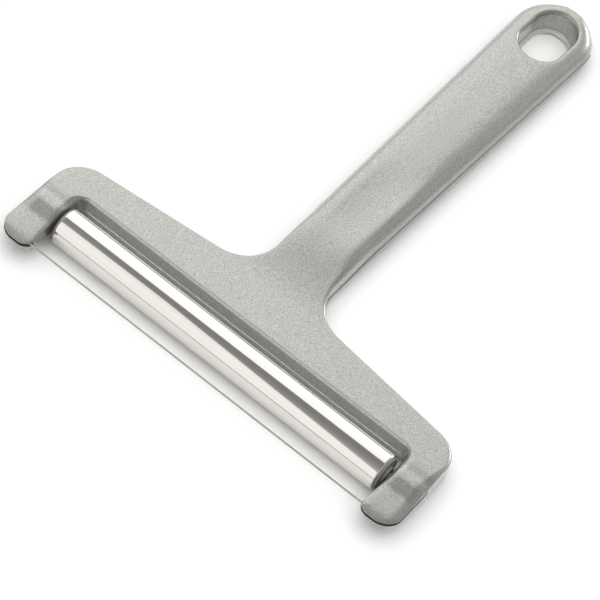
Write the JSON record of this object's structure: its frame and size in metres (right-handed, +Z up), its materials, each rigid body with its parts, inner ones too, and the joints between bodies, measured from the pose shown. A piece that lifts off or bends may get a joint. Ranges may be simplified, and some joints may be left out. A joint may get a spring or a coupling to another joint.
{
  "type": "roller cheese slicer",
  "caption": "Hand-held wire cheese slicer: a cast T-shaped handle with a cutting wire across its arm tips and a free-turning steel roller behind the wire.",
  "frame": {"origin": "on the table, under the middle of the tool's bounding box, as it lies on its roller and on the underside of its handle", "axes": "+X along the roller, +Y from the arm tips to the hanging end of the handle, +Z up from the table"},
  "size_m": [0.129, 0.1736, 0.0108],
  "materials": {
    "cast_aluminium": "fine grained silver lacquer over die-cast aluminium",
    "polished_steel": "mirror-polished stainless tube",
    "bush_plastic": "pale grey moulded plastic",
    "axle_steel": "plain drawn steel",
    "wire_steel": "bright drawn wire"
  },
  "bodies": {
    "body": {"cast_body": "cast_aluminium", "roller_axle": "axle_steel", "cutting_wire": "wire_steel", "wire_sleeve_left": "axle_steel", "wire_sleeve_right": "axle_steel"},
    "roller": {"roller_tube": "polished_steel", "roller_bush_left": "bush_plastic", "roller_bush_right": "bush_plastic"}
  },
  "joints": [
    {"name": "roller_spin", "type": "hinge", "parent": "body", "child": "roller", "pos_m": [0, -0.07292, 0.00542], "axis": [1, 0, 0], "continuous": true}
  ]
}
